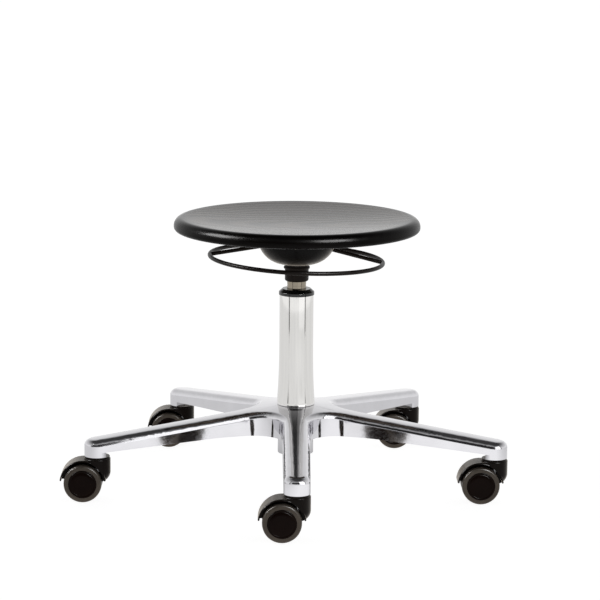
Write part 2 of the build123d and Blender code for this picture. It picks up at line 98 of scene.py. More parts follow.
# Sides of turned pieces and points along their curves
FINE_STEPS = 160
WHEEL_STEPS = 96
SCREW_STEPS = 40
POLE_STEPS = 24
CURVE_STEPS = 24
ROLL_STEPS = 14
ROUND_STEPS = 8
TREAD_STEPS = 8
DOME_STEPS = 9
DISC_EDGE_STEPS = 6
EDGE_STEPS = 5

# Angles in degrees past which an edge stays sharp
TURNED_CREASE = 35.0
COPIED_CREASE = 30.0

# Limits of an arm's top: its faces' lean, its normals' rise and its depth in radii of the rolled edge
TOP_LEAN = radians(14.0)
TOP_RISE = -0.1
TOP_DEPTH = 1.1

# A wheel disc's face from its middle out: shares of the rim's radius, and depths in heights of the fine step
DISC_FACE = ((0.0, 0.0), (0.55, 0.25), (0.82, 0.6), (0.85, 1.8), (0.88, 0.8))

# Radians of the ring pattern in a metre, at scale 1
RING_RATE = 20.0

# Values of a pattern between which a tint changes
TINT_START = 0.3
TINT_END = 0.7

# Start of every material's name
FINISH_PREFIX = "stool_"


def length(label, words, default):
    """A size in metres that a user can change."""
    return FloatProperty(name=label, description=words, default=default, min=0.0, precision=5, unit="LENGTH")


def spot(label, words, default):
    """A place in metres that a user can change."""
    return FloatVectorProperty(name=label, description=words, default=default, size=3, subtype="TRANSLATION")


def tilt(label, words, degrees):
    """An angle that a user can change."""
    return FloatProperty(name=label, description=words, default=radians(degrees), subtype="ANGLE")


def colour(label, words, default):
    """A linear colour that a user can change."""
    return FloatVectorProperty(name=label, description=words, default=default, min=0.0, max=1.0, size=3,
                               subtype="COLOR")


def number(label, words, default, most=1.0):
    """A plain number that a user can change, such as a roughness."""
    return FloatProperty(name=label, description=words, default=default, min=0.0, max=most)


def brightness(label, words, default):
    """A brightness, or a share of one, that a user can change."""
    return number(label, words, default, most=10.0)


def watts(label, words, default):
    """A light's power that a user can change."""
    return FloatProperty(name=label, description=words, default=default, min=0.0, unit="POWER")


def whole(label, words, default, least=1):
    """A whole number that a user can change."""
    return IntProperty(name=label, description=words, default=default, min=least)


class StoolSeatSettings(bpy.types.PropertyGroup):
    """Sizes, stain and varnish of the turned seat"""

    radius: length("Radius", "Outer radius of the seat", seat_high.x)
    top_round: length("Top Round", "Radius of the rim's upper roll", 0.012)
    under_round: length("Under Round", "Radius of the rim's lower edge", 0.006)
    dish_depth: length("Dish Depth", "Depth of the dish below the rim", 0.007)
    dish_border: length("Dish Border", "Width from the rim to the dish", 0.013)
    stain: colour("Stain", "Black stain on the dense wood", (0.0020, 0.0012, 0.0009))
    grain: colour("Grain", "Paler bands of the growth rings", (0.1450, 0.1190, 0.1000))
    ring_spacing: length("Ring Spacing", "Distance between growth rings", 0.0120)
    ring_tilt: tilt("Ring Tilt", "Lean of the growth rings along the board", 9.0)
    ring_turn: tilt("Ring Turn", "Turn of the growth rings across the board", 3.0)
    ring_heart: spot("Ring Heart", "Middle of the growth rings in the leaning board", (0.0, -0.035, 0.315))
    pore_share: number("Pore Share", "Share of the fine pores in the grain", 0.6)
    figure_share: number("Figure Share", "Share of the broad figure in the varnish", 0.4)
    fade_inside: length("Fade Inside", "Distance inside the dish's edge at which the grain fades", 0.006)
    fade_outside: length("Fade Outside", "Distance outside the dish's edge at which the grain is gone", 0.004)
    varnish_gloss: number("Varnish Gloss", "Mirror share of the varnish", 0.058)
    varnish_bright: number("Bright Varnish", "Least roughness of the varnish", 0.05)
    varnish_dull: number("Dull Varnish", "Greatest roughness of the varnish", 0.13)
    rim_wear: number("Rim Wear", "Roughness that wear adds at the rim", 0.18)


class StoolScrewSettings(bpy.types.PropertyGroup):
    """Sizes of the seat's screws"""

    head_radius: length("Head Radius", "Radius of a screw's head", 0.0055)
    head_dome: length("Head Dome", "Rise of a screw's head from its edge to its middle", 0.0012)
    shank_radius: length("Shank Radius", "Radius of a screw's shank", 0.0025)
    recess_reach: length("Recess Reach", "Length of the cross from side to side", 0.0054)
    recess_width: length("Recess Width", "Width of the cross's slots", 0.0012)
    recess_depth: length("Recess Depth", "Depth of the cross", 0.0018)


class StoolMetalSettings(bpy.types.PropertyGroup):
    """Metal finishes"""

    aluminium: colour("Aluminium", "Polished casting", (0.69, 0.685, 0.71))
    chrome: colour("Chrome", "Plated column", (0.85, 0.84, 0.82))
    cylinder: colour("Cylinder", "Ground pressure tube", (0.34, 0.30, 0.24))
    steel: colour("Steel", "Zinc-plated steel", (0.50, 0.50, 0.51))
    black: colour("Black Paint", "Coated steel", (0.0090, 0.0062, 0.0048))
    polish: number("Polish", "Roughness of the polished casting", 0.075)


class StoolPlasticSettings(bpy.types.PropertyGroup):
    """Plastic and rubber finishes"""

    cowl: colour("Cowl", "Moulded cover under the seat", (0.0007, 0.0005, 0.0005))
    cap: colour("Cap", "Gloss cap on the column", (0.006, 0.006, 0.006))
    hood: colour("Hood", "Caster bodies", (0.0034, 0.0015, 0.0009))
    disc: colour("Disc", "Wheel discs", (0.0052, 0.0021, 0.0013))
    tyre: colour("Tyre", "Soft tyres", (0.062, 0.050, 0.039))
    bearing: colour("Bearing", "Natural bearing plastic", (0.62, 0.60, 0.55))
    rubber: colour("Rubber", "Buffer in the column", (0.02, 0.02, 0.02))
    bloom: colour("Bloom", "Dull bloom on the satin mouldings", (1.0, 0.90, 0.78))


class StoolLiftSettings(bpy.types.PropertyGroup):
    """Sizes of the lift column and gas spring"""

    tube_radius: length("Tube Radius", "Radius of the chromed tube", 0.025)
    tube_wall: length("Tube Wall", "Wall of the chromed tube", 0.0026)
    foot_height: length("Foot Height", "Height of the flare at the column's foot", 0.110)
    foot_crease: length("Foot Crease", "Rounding at the joint with the hub", 0.0014)
    tube_edge: length("Tube Edge", "Rounding at the tube's upper end", 0.0004)
    plug_radius: length("Plug Radius", "Largest radius of the tapered plug in the hub", 0.0242)
    plug_tip_radius: length("Plug Tip Radius", "Smallest radius of the tapered plug", 0.0218)
    plug_wall: length("Plug Wall", "Wall of the tapered plug", 0.0024)
    floor_plate: length("Floor Plate", "Thickness of the plate that carries the bearing", 0.004)
    rod_hole: length("Rod Hole", "Radius of the hole for the rod", 0.00508)
    cylinder_wall: length("Cylinder Wall", "Wall of the pressure tube", 0.0015)
    cylinder_bevel: length("Cylinder Bevel", "Bevel at the pressure tube's lower end", 0.0006)
    cone_radius: length("Cone Radius", "Radius of the cylinder's conical head", 0.013)
    groove_drop: length("Groove Drop", "Distance of the fine groove below the neck", 0.0064)
    groove_width: length("Groove Width", "Width of the fine groove", 0.0014)
    groove_depth: length("Groove Depth", "Depth of the fine groove", 0.0005)


class StoolBaseSettings(bpy.types.PropertyGroup):
    """Sizes of the star base's arms"""

    flat: length("Flat", "Half width of an arm's top between its rolled edges", 0.010)
    roll: length("Roll", "Radius of the arms' rolled edges", 0.0095)
    fall: number("Fall", "Slope of the arms", 0.1135)
    crown: length("Crown", "Fall of an arm's top from its middle to the rolled edges", 0.0004)
    crown_start: length("Crown Start", "Distance from the lift axis at which the crown begins", 0.055)
    crown_full: length("Crown Full", "Distance from the lift axis at which the crown is full", 0.100)
    crown_cuts: whole("Crown Cuts", "Cuts along each side of an arm's top", 4)


class StoolCasterSettings(bpy.types.PropertyGroup):
    """Sizes of the caster wheels"""

    shoulder: length("Shoulder", "Radius of the tyre's shoulders", 0.0034)
    crown: length("Crown", "Rise of the tread between its shoulders", 0.0003)
    disc_edge: length("Disc Edge", "Radius of the wheel disc's edge", 0.0012)
    disc_step: length("Disc Step", "Depth of the fine step round the wheel disc", 0.00035)
    axle_bore: length("Axle Bore", "Radius of the axle's hole", 0.00308)
    rim_wall: length("Rim Wall", "Wall of the wheel's rim", 0.003)
    rim_lip: length("Rim Lip", "Distance of the rim's edge from the end of the boss", 0.001)
    face_wall: length("Face Wall", "Wall of the wheel's face", 0.0024)
    boss_radius: length("Boss Radius", "Radius of the wheel's boss", 0.0065)


class StoolStageSettings(bpy.types.PropertyGroup):
    """Floor, light and camera"""

    floor_tone: colour("Floor", "Pale floor", (0.34, 0.34, 0.34))
    floor_radius: length("Floor Radius", "Radius of the round floor", 40.0)
    floor_steps: whole("Floor Steps", "Sides of the round floor", 96, 8)
    floor_glow: brightness("Floor Glow", "Light that the translucent floor sends up", 0.915)
    # Painted light: in reflections the floor's glow is brighter in a patch in front of the stool
    painted_near_light: brightness("Near Floor", "Share of that light in reflections, in front of the stool", 1.2)
    painted_light_spot: spot("Near Spot", "Middle of the brighter floor in front of the stool", (0.15, -0.42, 0.0))
    near_start: length("Near Start", "Distance from that spot at which the light starts to fall", 0.2)
    near_end: length("Near End", "Distance from that spot at which the light has fallen", 0.7)
    # Painted shade: in reflections the floor's glow is dimmer round the stool, and full again on the far
    # floor
    painted_round_shade: brightness("Round Floor", "Share of that light in reflections, round the stool", 0.76)
    floor_far: brightness("Far Floor", "Share of that light in reflections, far from the stool", 0.97)
    far_start: length("Far Start", "Distance from the lift axis at which the far floor starts", 1.2)
    far_end: length("Far End", "Distance from the lift axis at which the far floor is full", 3.0)
    # Painted shade: in reflections the floor's glow is darkened under the stool, where its shadow would fall
    painted_under_shade: brightness("Under Floor", "Share of that light in reflections, under the stool", 0.32)
    under_start: length("Under Start", "Distance from the lift axis at which that shade starts to fade", 0.12)
    under_end: length("Under End", "Distance from the lift axis at which that shade is gone", 0.33)
    horizon: brightness("Horizon", "Brightness of the studio's walls at the floor", 1.02)
    wall: brightness("Wall", "Brightness of the studio's walls at seat height", 0.95)
    wall_rise: number("Wall Rise", "Rise of a direction to that height", 0.25)
    upper: brightness("Upper Wall", "Brightness of the studio's walls near the ceiling", 0.6)
    upper_rise: number("Upper Rise", "Rise of a direction to that height", 0.6)
    ceiling: brightness("Ceiling", "Brightness of the dark ceiling", 0.05)
    ceiling_rise: number("Ceiling Rise", "Rise of a direction to the ceiling", 0.9)
    dark: brightness("Dark Side", "Brightness of the dark side of the studio, behind the camera", 0.03)
    dark_start: number("Dark Start", "Lean of a direction to the camera at which the dark side starts", 0.45)
    dark_full: number("Dark Full", "Lean of a direction to the camera at which the dark side is full", 0.75)
    dark_top: number("Dark Top", "Rise of a direction at which the dark side ends", 0.70)
    dark_below: number("Dark Below", "Rise of a direction below which the dark side is full", 0.52)
    light_aim: spot("Light Aim", "Place that the soft lights face", (0.0, 0.0, 0.39))
    key_place: spot("Key Place", "Middle of the soft light from the right", (1.75, -2.4, 2.35))
    key_width: length("Key Width", "Width of the soft light from the right", 1.6)
    key_height: length("Key Height", "Height of the soft light from the right", 1.5)
    key_power: watts("Key", "Power of the soft light from the right", 430.0)
    fill_place: spot("Fill Place", "Middle of the soft light from the left", (-2.8, -0.25, 2.3))
    fill_width: length("Fill Width", "Width of the soft light from the left", 1.7)
    fill_height: length("Fill Height", "Height of the soft light from the left", 1.5)
    fill_power: watts("Fill", "Power of the soft light from the left", 400.0)
    card_aim: spot("Card Aim", "Place that the white card faces", (0.0, 0.0, 0.59))
    card_place: spot("Card Place", "Middle of the white card for the metal", (0.68, -0.93, 0.59))
    card_width: length("Card Width", "Width of the white card", 0.85)
    card_height: length("Card Height", "Height of the white card", 1.1)
    card_power: watts("Card", "Power of the white card on the base", 4.2)
    card_column: number("Column Card", "Share of that power on the column", 0.10)
    stand_tone: colour("Stand", "Dark light stands", (0.05, 0.05, 0.05))
    stand_radius: length("Stand Radius", "Radius of the light stands", 0.055)
    stand_height: length("Stand Height", "Height of the light stands", 2.0)
    stand_right: spot("Right Stand", "Middle of the right light stand", (0.91, -0.53, 1.04))
    stand_left: spot("Left Stand", "Middle of the left light stand", (-0.79, -0.69, 1.04))
    camera_distance: length("Camera Distance", "Distance from the lift axis to the camera", 3.6948)
    camera_elevation: tilt("Elevation", "Height angle of the camera", 10.41)
    camera_azimuth: tilt("Azimuth", "Turn of the camera about the lift axis", 0.49)
    camera_yaw: tilt("Yaw", "Turn of the camera away from the lift axis", 0.08)
    camera_roll: tilt("Roll", "Lean of the camera", 0.45)
    target_height: length("Target Height", "Height that the camera looks at", 0.27814)
    lens: FloatProperty(name="Lens", description="Focal length", default=151.05, min=1.0, unit="CAMERA")


# Modelling helpers


def deselect_all():
    """Leave edit mode and clear the selection."""
    if bpy.context.object and bpy.context.object.mode != "OBJECT":
        bpy.ops.object.mode_set(mode="OBJECT")
    bpy.ops.object.select_all(action="DESELECT")


def make_active(piece):
    """Select one piece alone."""
    deselect_all()
    piece.select_set(True)
    bpy.context.view_layer.objects.active = piece


def delete(piece):
    """Delete a piece."""
    make_active(piece)
    bpy.ops.object.delete()


def rename(piece, name):
    """Give a piece and its mesh one name."""
    piece.name = name
    piece.data.name = name
    return piece


def arc(middle, radius, start, end, count):
    """Points (radius, height) along an arc; the angles are in degrees, 0 outwards and 90 up."""
    angles = [radians(start + (end - start) * step / count) for step in range(count + 1)]
    return [(middle[0] + radius * cos(angle), middle[1] + radius * sin(angle)) for angle in angles]


def shares(count):
    """Even shares from 0 to 1."""
    return [step / count for step in range(count + 1)]


def smooth(piece, crease=TURNED_CREASE):
    """Smooth the shading except across edges sharper than the crease."""
    make_active(piece)
    bpy.ops.object.shade_smooth_by_angle(angle=radians(crease))
    return piece


def spun(name, points, centre, axis, steps):
    """Draw an outline vertex by vertex and spin it about an axis into a closed piece."""
    deselect_all()
    bpy.ops.mesh.primitive_plane_add(size=WELD)
    piece = rename(bpy.context.active_object, name)
    bpy.ops.object.mode_set(mode="EDIT")
    bpy.ops.mesh.select_all(action="SELECT")
    bpy.ops.mesh.merge(type="CENTER")
    bpy.ops.transform.translate(value=points[0])
    for before, after in zip(points, points[1:]):
        bpy.ops.mesh.extrude_vertices_move(TRANSFORM_OT_translate={"value": after - before})
    bpy.ops.mesh.select_all(action="SELECT")
    bpy.ops.mesh.spin(steps=steps, angle=2 * pi, center=centre, axis=axis)
    bpy.ops.mesh.select_all(action="SELECT")
    bpy.ops.mesh.remove_doubles(threshold=WELD)
    bpy.ops.mesh.normals_make_consistent(inside=False)
    bpy.ops.object.mode_set(mode="OBJECT")
    return smooth(piece)


def turned(name, outline, steps=FINE_STEPS):
    """Turn an outline of (radius, height) pairs about the lift axis."""
    points = [Vector((radius, 0, height)) for radius, height in outline]
    return spun(name, points, (0, 0, 0), (0, 0, 1), steps)


def turned_on_axle(name, outline, centre):
    """Turn an outline of (radius, distance along Y) pairs about an axle through the centre."""
    points = [Vector((centre.x, along, centre.z + radius)) for radius, along in outline]
    return spun(name, points, centre, (0, 1, 0), WHEEL_STEPS)


def copied_from(source, name, shape=None):
    """A merged and smoothly shaded copy of a construction piece, with its shape refined where asked."""
    make_active(frame["nodes"][source])
    bpy.ops.object.duplicate(linked=False)
    piece = rename(bpy.context.active_object, name)
    bpy.ops.object.parent_clear(type="CLEAR_KEEP_TRANSFORM")
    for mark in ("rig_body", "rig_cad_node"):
        del piece[mark]
    bpy.ops.object.mode_set(mode="EDIT")
    bpy.ops.mesh.select_all(action="SELECT")
    bpy.ops.mesh.remove_doubles(threshold=WELD)
    bpy.ops.object.mode_set(mode="OBJECT")
    bpy.ops.mesh.customdata_custom_splitnormals_clear()
    if shape:
        shape(piece)
    smooth(piece, COPIED_CREASE)
    bpy.ops.object.modifier_add(type="WEIGHTED_NORMAL")
    piece.modifiers[-1].keep_sharp = True
    bpy.ops.object.modifier_apply(modifier=piece.modifiers[-1].name)
    return piece


def cut_away(piece, cutter):
    """Cut another mesh out of a piece and delete it."""
    make_active(piece)
    bpy.ops.object.modifier_add(type="BOOLEAN")
    cut = piece.modifiers[-1]
    cut.operation = "DIFFERENCE"
    cut.solver = "EXACT"
    cut.object = cutter
    bpy.ops.object.modifier_apply(modifier=cut.name)
    delete(cutter)


def moved_copy(piece, name, step):
    """A copy with its own mesh, moved and with its place kept in the mesh."""
    make_active(piece)
    bpy.ops.object.duplicate(linked=False)
    copy = rename(bpy.context.active_object, name)
    bpy.ops.transform.translate(value=step)
    bpy.ops.object.transform_apply(location=True, rotation=True, scale=True)
    return copy


def mirror_along_y(piece):
    """Mirror a piece at the plane through the lift axis and turn its faces outwards again."""
    make_active(piece)
    bpy.ops.transform.mirror(constraint_axis=(False, True, False), center_override=(0, 0, 0))
    bpy.ops.object.transform_apply(location=True, rotation=True, scale=True)
    bpy.ops.object.mode_set(mode="EDIT")
    bpy.ops.mesh.select_all(action="SELECT")
    bpy.ops.mesh.normals_make_consistent(inside=False)
    bpy.ops.object.mode_set(mode="OBJECT")


def fit(piece, body, material, replaced):
    """Give a piece its finish, let it ride on a body and stand for a construction piece."""
    piece.data.materials.clear()
    piece.data.materials.append(material)
    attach(piece, body)
    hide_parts(replaced)


def refine(source, name, body, material, shape=None):
    """Let a refined copy stand for a construction piece."""
    fit(copied_from(source, name, shape), body, material, source)


def dress(material, *sources):
    """Give construction pieces a finish as they are."""
    for source in sources:
        for entry in frame["nodes"][source].material_slots:
            entry.material = material


# Finishes


def new_finish(name, tone, roughness, metallic=0.0, gloss=0.5):
    """A shader with an even tone; returns the material and its shader."""
    material = bpy.data.materials.new(FINISH_PREFIX + name)
    material.use_nodes = True
    shader = material.node_tree.nodes["Principled BSDF"]
    shader.inputs["Base Color"].default_value = (*tone, 1.0)
    shader.inputs["Roughness"].default_value = roughness
    shader.inputs["Metallic"].default_value = metallic
    shader.inputs["Specular IOR Level"].default_value = gloss
    return material, shader


def node(material, kind, **settings):
    """Add a node with its settings to a material or a world."""
    made = material.node_tree.nodes.new(kind)
    for key, value in settings.items():
        setattr(made, key, value)
    return made


def link(material, start, end):
    """Join two sockets."""
    material.node_tree.links.new(start, end)


def feed(material, source, socket):
    """Set a socket to a plain number, or join another socket to it."""
    if isinstance(source, float):
        socket.default_value = source
    else:
        link(material, source, socket)


def object_places(material, stretch=(1.0, 1.0, 1.0), turn=(0.0, 0.0, 0.0), shift=(0.0, 0.0, 0.0)):
    """Object coordinates, stretched, turned and shifted."""
    mapping = node(material, "ShaderNodeMapping")
    mapping.inputs["Location"].default_value = shift
    mapping.inputs["Rotation"].default_value = turn
    mapping.inputs["Scale"].default_value = stretch
    link(material, node(material, "ShaderNodeTexCoord").outputs["Object"], mapping.inputs["Vector"])
    return mapping.outputs["Vector"]


def reach_of(material, places):
    """Distance of coordinates from their origin."""
    made = node(material, "ShaderNodeVectorMath", operation="LENGTH")
    link(material, places, made.inputs["Vector"])
    return made.outputs["Value"]


def noise(material, scale=1.0, detail=3.0, roughness=0.5, stretch=(1.0, 1.0, 1.0)):
    """Noise over object coordinates, per metre."""
    made = node(material, "ShaderNodeTexNoise")
    made.inputs["Scale"].default_value = scale
    made.inputs["Detail"].default_value = detail
    made.inputs["Roughness"].default_value = roughness
    link(material, object_places(material, stretch), made.inputs["Vector"])
    return made.outputs["Fac"]


def spread(material, source, low, high, start=0.25, end=0.75, easing="LINEAR"):
    """A value that goes from low to high as a source runs from start to end."""
    made = node(material, "ShaderNodeMapRange", interpolation_type=easing)
    made.inputs["From Min"].default_value = start
    made.inputs["From Max"].default_value = end
    made.inputs["To Min"].default_value = low
    made.inputs["To Max"].default_value = high
    link(material, source, made.inputs["Value"])
    return made.outputs["Result"]


def worked_out(material, operation, first, second):
    """A sum, product or other result of two values."""
    made = node(material, "ShaderNodeMath", operation=operation)
    feed(material, first, made.inputs[0])
    feed(material, second, made.inputs[1])
    return made.outputs["Value"]


def mixed(material, factor, first, second):
    """The first value where a factor is 0, the second where it is 1, and a mix of both between."""
    made = node(material, "ShaderNodeMix", data_type="FLOAT")
    feed(material, factor, made.inputs["Factor"])
    feed(material, first, made.inputs["A"])
    feed(material, second, made.inputs["B"])
    return made.outputs["Result"]


def roughen(material, shader, source, low, high):
    """Vary a shader's roughness from low to high by a source."""
    link(material, spread(material, source, low, high), shader.inputs["Roughness"])


def tint(material, shader, source, first, second):
    """Vary a shader's colour between two tones by a source."""
    ramp = node(material, "ShaderNodeValToRGB")
    for stop, position, tone in zip(ramp.color_ramp.elements, (TINT_START, TINT_END), (first, second)):
        stop.position = position
        stop.color = (*tone, 1.0)
    link(material, source, ramp.inputs["Fac"])
    link(material, ramp.outputs["Color"], shader.inputs["Base Color"])


def relief(material, shader, height, strength, distance):
    """Bump a shader by a height."""
    bump = node(material, "ShaderNodeBump")
    bump.inputs["Strength"].default_value = strength
    bump.inputs["Distance"].default_value = distance
    link(material, height, bump.inputs["Height"])
    link(material, bump.outputs["Normal"], shader.inputs["Normal"])


def scaled(tone, factor):
    """A tone made lighter or darker."""
    return tuple(min(1.0, part * factor) for part in tone)


def stained_wood(seat):
    """Black stain under satin varnish, with growth rings in arches and fine pores along the board."""
    material, shader = new_finish("black_stained_wood", seat.stain, roughness=0.1, gloss=seat.varnish_gloss)
    rings = node(material, "ShaderNodeTexWave", wave_type="RINGS", rings_direction="X", wave_profile="SIN")
    rings.inputs["Scale"].default_value = 2 * pi / RING_RATE / seat.ring_spacing
    rings.inputs["Distortion"].default_value = 5.0
    rings.inputs["Detail"].default_value = 3.0
    rings.inputs["Detail Scale"].default_value = 0.35
    leaning = object_places(material, turn=(0.0, seat.ring_tilt, seat.ring_turn), shift=-seat.ring_heart)
    link(material, leaning, rings.inputs["Vector"])
    pores = noise(material, detail=5.0, roughness=0.7, stretch=(7.0, 110.0, 110.0))
    figure = noise(material, detail=2.0, stretch=(5.0, 40.0, 40.0))
    grain = mixed(material, seat.pore_share, rings.outputs["Fac"], pores)
    reach = reach_of(material, object_places(material, stretch=(1.0, 1.0, 0.0)))
    edge = seat.radius - seat.dish_border
    fade = spread(material, reach, 1.0, 0.0, edge - seat.fade_inside, edge + seat.fade_outside)
    open_grain = worked_out(material, "MULTIPLY", grain, fade)
    tint(material, shader, open_grain, seat.stain, seat.grain)
    uneven = mixed(material, seat.figure_share, grain, figure)
    varnish = spread(material, uneven, seat.varnish_bright, seat.varnish_dull)
    worn = spread(material, reach, 0.0, seat.rim_wear, edge, seat.radius)
    link(material, worked_out(material, "ADD", varnish, worn), shader.inputs["Roughness"])
    relief(material, shader, open_grain, strength=0.35, distance=0.0004)
    return material


def polished_aluminium(metal):
    """Bright casting with slight waves and fine polishing marks."""
    material, shader = new_finish("polished_aluminium", metal.aluminium, metal.polish, metallic=1.0)
    waves = noise(material, scale=34.0, detail=2.0)
    marks = noise(material, detail=4.0, roughness=0.65, stretch=(240.0, 240.0, 900.0))
    tint(material, shader, waves, scaled(metal.aluminium, factor=0.95), metal.aluminium)
    roughen(material, shader, marks, low=metal.polish * 0.6, high=metal.polish * 1.7)
    relief(material, shader, waves, strength=0.02, distance=0.002)
    return material


def bright_chrome(metal):
    """Plated tube with faint streaks along its length."""
    material, shader = new_finish("chrome", metal.chrome, roughness=0.07, metallic=1.0)
    streaks = noise(material, stretch=(260.0, 260.0, 4.0))
    tint(material, shader, streaks, scaled(metal.chrome, factor=0.93), metal.chrome)
    roughen(material, shader, streaks, low=0.05, high=0.12)
    relief(material, shader, streaks, strength=0.012, distance=0.0008)
    return material


def ground_cylinder(metal):
    """Warm bright tube with fine grinding lines round it."""
    material, shader = new_finish("ground_cylinder", metal.cylinder, roughness=0.14, metallic=1.0)
    lines = noise(material, stretch=(16.0, 16.0, 2600.0))
    tint(material, shader, lines, scaled(metal.cylinder, factor=0.85), scaled(metal.cylinder, factor=1.1))
    roughen(material, shader, lines, low=0.09, high=0.18)
    relief(material, shader, lines, strength=0.05, distance=0.0001)
    return material


def plated_steel(metal):
    """Zinc-plated steel with a mottled surface."""
    material, shader = new_finish("plated_steel", metal.steel, roughness=0.35, metallic=1.0)
    mottle = noise(material, scale=420.0, detail=4.0)
    tint(material, shader, mottle, scaled(metal.steel, factor=0.8), metal.steel)
    roughen(material, shader, mottle, low=0.26, high=0.44)
    relief(material, shader, mottle, strength=0.05, distance=0.0002)
    return material


def black_coat(metal):
    """Semi-gloss black coating with a slight orange-peel surface."""
    material, shader = new_finish("black_coat", metal.black, roughness=0.24, gloss=0.09)
    peel = noise(material, scale=900.0, detail=2.0)
    wear = noise(material, scale=60.0)
    tint(material, shader, wear, metal.black, scaled(metal.black, factor=1.5))
    roughen(material, shader, wear, low=0.28, high=0.40)
    relief(material, shader, peel, strength=0.06, distance=0.0002)
    return material


def moulded(name, tone, low, high, texture, strength, gloss, bloom=0.0, bloom_tone=(1.0, 1.0, 1.0)):
    """Moulded plastic or rubber: a fine texture, uneven gloss and, where asked, a dull bloom."""
    material, shader = new_finish(name, tone, roughness=low, gloss=gloss)
    shader.inputs["Sheen Weight"].default_value = bloom
    shader.inputs["Sheen Roughness"].default_value = 0.3
    shader.inputs["Sheen Tint"].default_value = (*bloom_tone, 1.0)
    fine = noise(material, scale=texture)
    cloud = noise(material, scale=45.0, detail=2.0)
    tint(material, shader, cloud, tone, scaled(tone, factor=1.35))
    roughen(material, shader, cloud, low, high)
    relief(material, shader, fine, strength, distance=0.0002)
    return material


def cowl_plastic(plastic):
    """Satin cover under the seat."""
    return moulded("cowl_plastic", plastic.cowl, low=0.22, high=0.30, texture=1500.0, strength=0.05,
                   gloss=0.07, bloom=0.9, bloom_tone=plastic.bloom)


def cap_plastic(plastic):
    """Glossy cap on the column."""
    return moulded("cap_plastic", plastic.cap, low=0.10, high=0.16, texture=900.0, strength=0.03, gloss=0.6)


def hood_plastic(plastic):
    """Satin caster bodies."""
    return moulded("hood_plastic", plastic.hood, low=0.20, high=0.28, texture=1300.0, strength=0.05,
                   gloss=0.07, bloom=1.0, bloom_tone=plastic.bloom)


def disc_plastic(plastic):
    """Dark wheel discs."""
    return moulded("disc_plastic", plastic.disc, low=0.22, high=0.30, texture=1300.0, strength=0.05,
                   gloss=0.04)


def grey_tyre(plastic):
    """Soft tread of the wheels."""
    return moulded("grey_tyre", plastic.tyre, low=0.26, high=0.38, texture=1100.0, strength=0.08, gloss=0.15)


def bearing_plastic(plastic):
    """Natural plastic of the guide, gland and ball cage."""
    return moulded("bearing_plastic", plastic.bearing, low=0.36, high=0.46, texture=800.0, strength=0.05,
                   gloss=0.5)


def buffer_rubber(plastic):
    """Dull rubber of the buffer in the column."""
    return moulded("buffer_rubber", plastic.rubber, low=0.55, high=0.70, texture=700.0, strength=0.12,
                   gloss=0.3)


finish_makers = {
    "black_stained_wood": (stained_wood, "stool_seat"),
    "polished_aluminium": (polished_aluminium, "stool_metal"),
    "chrome": (bright_chrome, "stool_metal"),
    "ground_cylinder": (ground_cylinder, "stool_metal"),
    "plated_steel": (plated_steel, "stool_metal"),
    "black_coat": (black_coat, "stool_metal"),
    "cowl_plastic": (cowl_plastic, "stool_plastic"),
    "cap_plastic": (cap_plastic, "stool_plastic"),
    "hood_plastic": (hood_plastic, "stool_plastic"),
    "disc_plastic": (disc_plastic, "stool_plastic"),
    "grey_tyre": (grey_tyre, "stool_plastic"),
    "bearing_plastic": (bearing_plastic, "stool_plastic"),
    "buffer_rubber": (buffer_rubber, "stool_plastic"),
}


def finish(context, name):
    """One finish by name, made when it is first asked for."""
    made = bpy.data.materials.get(FINISH_PREFIX + name)
    if made:
        return made
    maker, group = finish_makers[name]
    return maker(getattr(context.scene, group))


# Operators


class STOOL_OT_seat(bpy.types.Operator):
    """Turn the dished wooden seat"""

    bl_idname = "stool.seat"
    bl_label = "Turned Seat"

    def execute(self, context):
        seat = context.scene.stool_seat
        radius = seat.radius
        under = seat_low.z
        top = seat_high.z
        dish = radius - seat.dish_border
        sweep = (dish ** 2 + seat.dish_depth ** 2) / (2 * seat.dish_depth)
        opening = asin(dish / sweep)
        bowl = []
        for inwards in shares(CURVE_STEPS):
            angle = opening * (1 - inwards)
            bowl.append((sweep * sin(angle), top - seat.dish_depth + sweep * (1 - cos(angle))))
        lower = (radius - seat.under_round, under + seat.under_round)
        upper = (radius - seat.top_round, top - seat.top_round)
        outline = [(0.0, under), (radius / 2, under)]
        outline += arc(lower, seat.under_round, -90, 0, ROUND_STEPS)
        outline += arc(upper, seat.top_round, 0, 90, ROLL_STEPS)
        piece = turned("turned_seat", outline + bowl)
        fit(piece, "seat", finish(context, "black_stained_wood"), "seat_board")
        return {"FINISHED"}


class STOOL_OT_support(bpy.types.Operator):
    """Refine the cowl, neck, bracket and plate under the seat"""

    bl_idname = "stool.support"
    bl_label = "Seat Support"

    def execute(self, context):
        paint = finish(context, "black_coat")
        refine("cowl", "bowl_cowl", "seat", finish(context, "cowl_plastic"))
        refine("cone_socket", "lift_neck", "seat", paint)
        refine("seat_carrier", "seat_bracket", "seat", paint)
        refine("seat_plate", "round_plate", "seat", paint)
        dress(finish(context, "plated_steel"), "pivot_pin")
        return {"FINISHED"}


